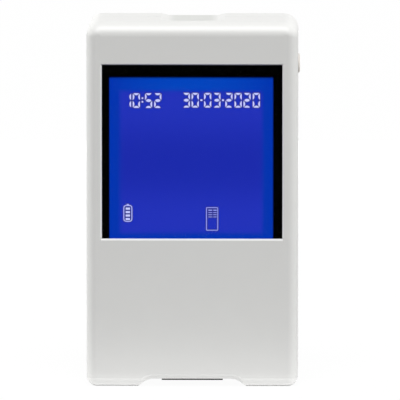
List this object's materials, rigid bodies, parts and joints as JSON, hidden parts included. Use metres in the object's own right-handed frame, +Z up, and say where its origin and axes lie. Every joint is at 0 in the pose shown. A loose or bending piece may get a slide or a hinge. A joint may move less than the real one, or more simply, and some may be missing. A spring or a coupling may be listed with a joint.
{
  "type": "inr meter",
  "caption": "Upright handheld blood clotting meter with a large lit display, side buttons, a chip slot under a bottom arch and a hinged battery cover.",
  "frame": {"origin": "middle of the bottom face that the meter stands on", "axes": "+X to the viewer's right, +Y from the display side to the battery side, +Z up"},
  "size_m": [0.0656, 0.035, 0.1127],
  "materials": {
    "case_plastic": "satin moulded plastic, white",
    "button_plastic": "satin moulded plastic, warm white",
    "window_plastic": "clear polished plastic",
    "mask_ink": "black printed border",
    "display_glass": "liquid crystal glass, blue when lit",
    "diffuser_film": "white film",
    "light_guide_plastic": "clear plastic",
    "lamp_plastic": "white lamp body with a yellow lens",
    "contact_rubber": "striped contact rubber",
    "frame_plastic": "black moulded plastic",
    "guide_plastic": "dark grey moulded plastic",
    "circuit_board": "green lacquered board",
    "chip_resin": "black resin",
    "can_steel": "plated steel",
    "holder_plastic": "black moulded plastic",
    "stem_plastic": "ivory moulded plastic",
    "lens_glass": "clear glass",
    "sensor_face": "dark glass-faced chip",
    "ribbon_film": "amber film with printed tracks",
    "battery_wrap": "dark blue shrink wrap",
    "contact_gold": "gold plated spring strip",
    "screw_steel": "plated steel"
  },
  "bodies": {
    "case": {"front_shell": "case_plastic", "rear_shell": "case_plastic", "display_window": "window_plastic", "window_mask": "mask_ink", "display_front_glass": "display_glass", "display_rear_glass": "display_glass", "diffuser_sheet": "diffuser_film", "light_guide": "light_guide_plastic", "display_lamps": "lamp_plastic", "chip_lamps": "lamp_plastic", "contact_strip": "contact_rubber", "display_bezel": "frame_plastic", "optics_block": "frame_plastic", "usb_tongue": "frame_plastic", "chip_guide_front": "guide_plastic", "chip_guide_rear": "guide_plastic", "main_board": "circuit_board", "sensor_board": "circuit_board", "chip_lamp_board": "circuit_board", "processor_chip": "chip_resin", "memory_chips": "chip_resin", "power_chip": "chip_resin", "sounder": "chip_resin", "clock_crystal": "can_steel", "clock_cell": "can_steel", "usb_shell": "can_steel", "cell_holder": "holder_plastic", "right_switch": "holder_plastic", "left_switch": "holder_plastic", "contact_block": "holder_plastic", "ribbon_sockets": "stem_plastic", "sensor_lens": "lens_glass", "image_sensor": "sensor_face", "ribbon_cable": "ribbon_film", "battery_pack": "battery_wrap", "battery_contacts": "contact_gold", "case_screws": "screw_steel", "board_screws": "screw_steel", "reader_screws": "screw_steel"},
    "right_button": {"right_button": "button_plastic", "right_switch_stem": "stem_plastic"},
    "left_button": {"left_button": "button_plastic", "left_switch_stem": "stem_plastic"},
    "battery_cover": {"battery_cover": "case_plastic"}
  },
  "joints": [
    {"name": "right_button_press", "type": "slide", "parent": "case", "child": "right_button", "axis": [-1, 0, 0], "range_m": [0, 0.0004], "stiffness_N_per_m": 4000},
    {"name": "left_button_press", "type": "slide", "parent": "case", "child": "left_button", "axis": [1, 0, 0], "range_m": [0, 0.0004], "stiffness_N_per_m": 4000},
    {"name": "battery_cover_tilt", "type": "hinge", "parent": "case", "child": "battery_cover", "pos_m": [0, 0.0175, 0.0286], "axis": [-1, 0, 0], "range_deg": [0, 45]}
  ]
}
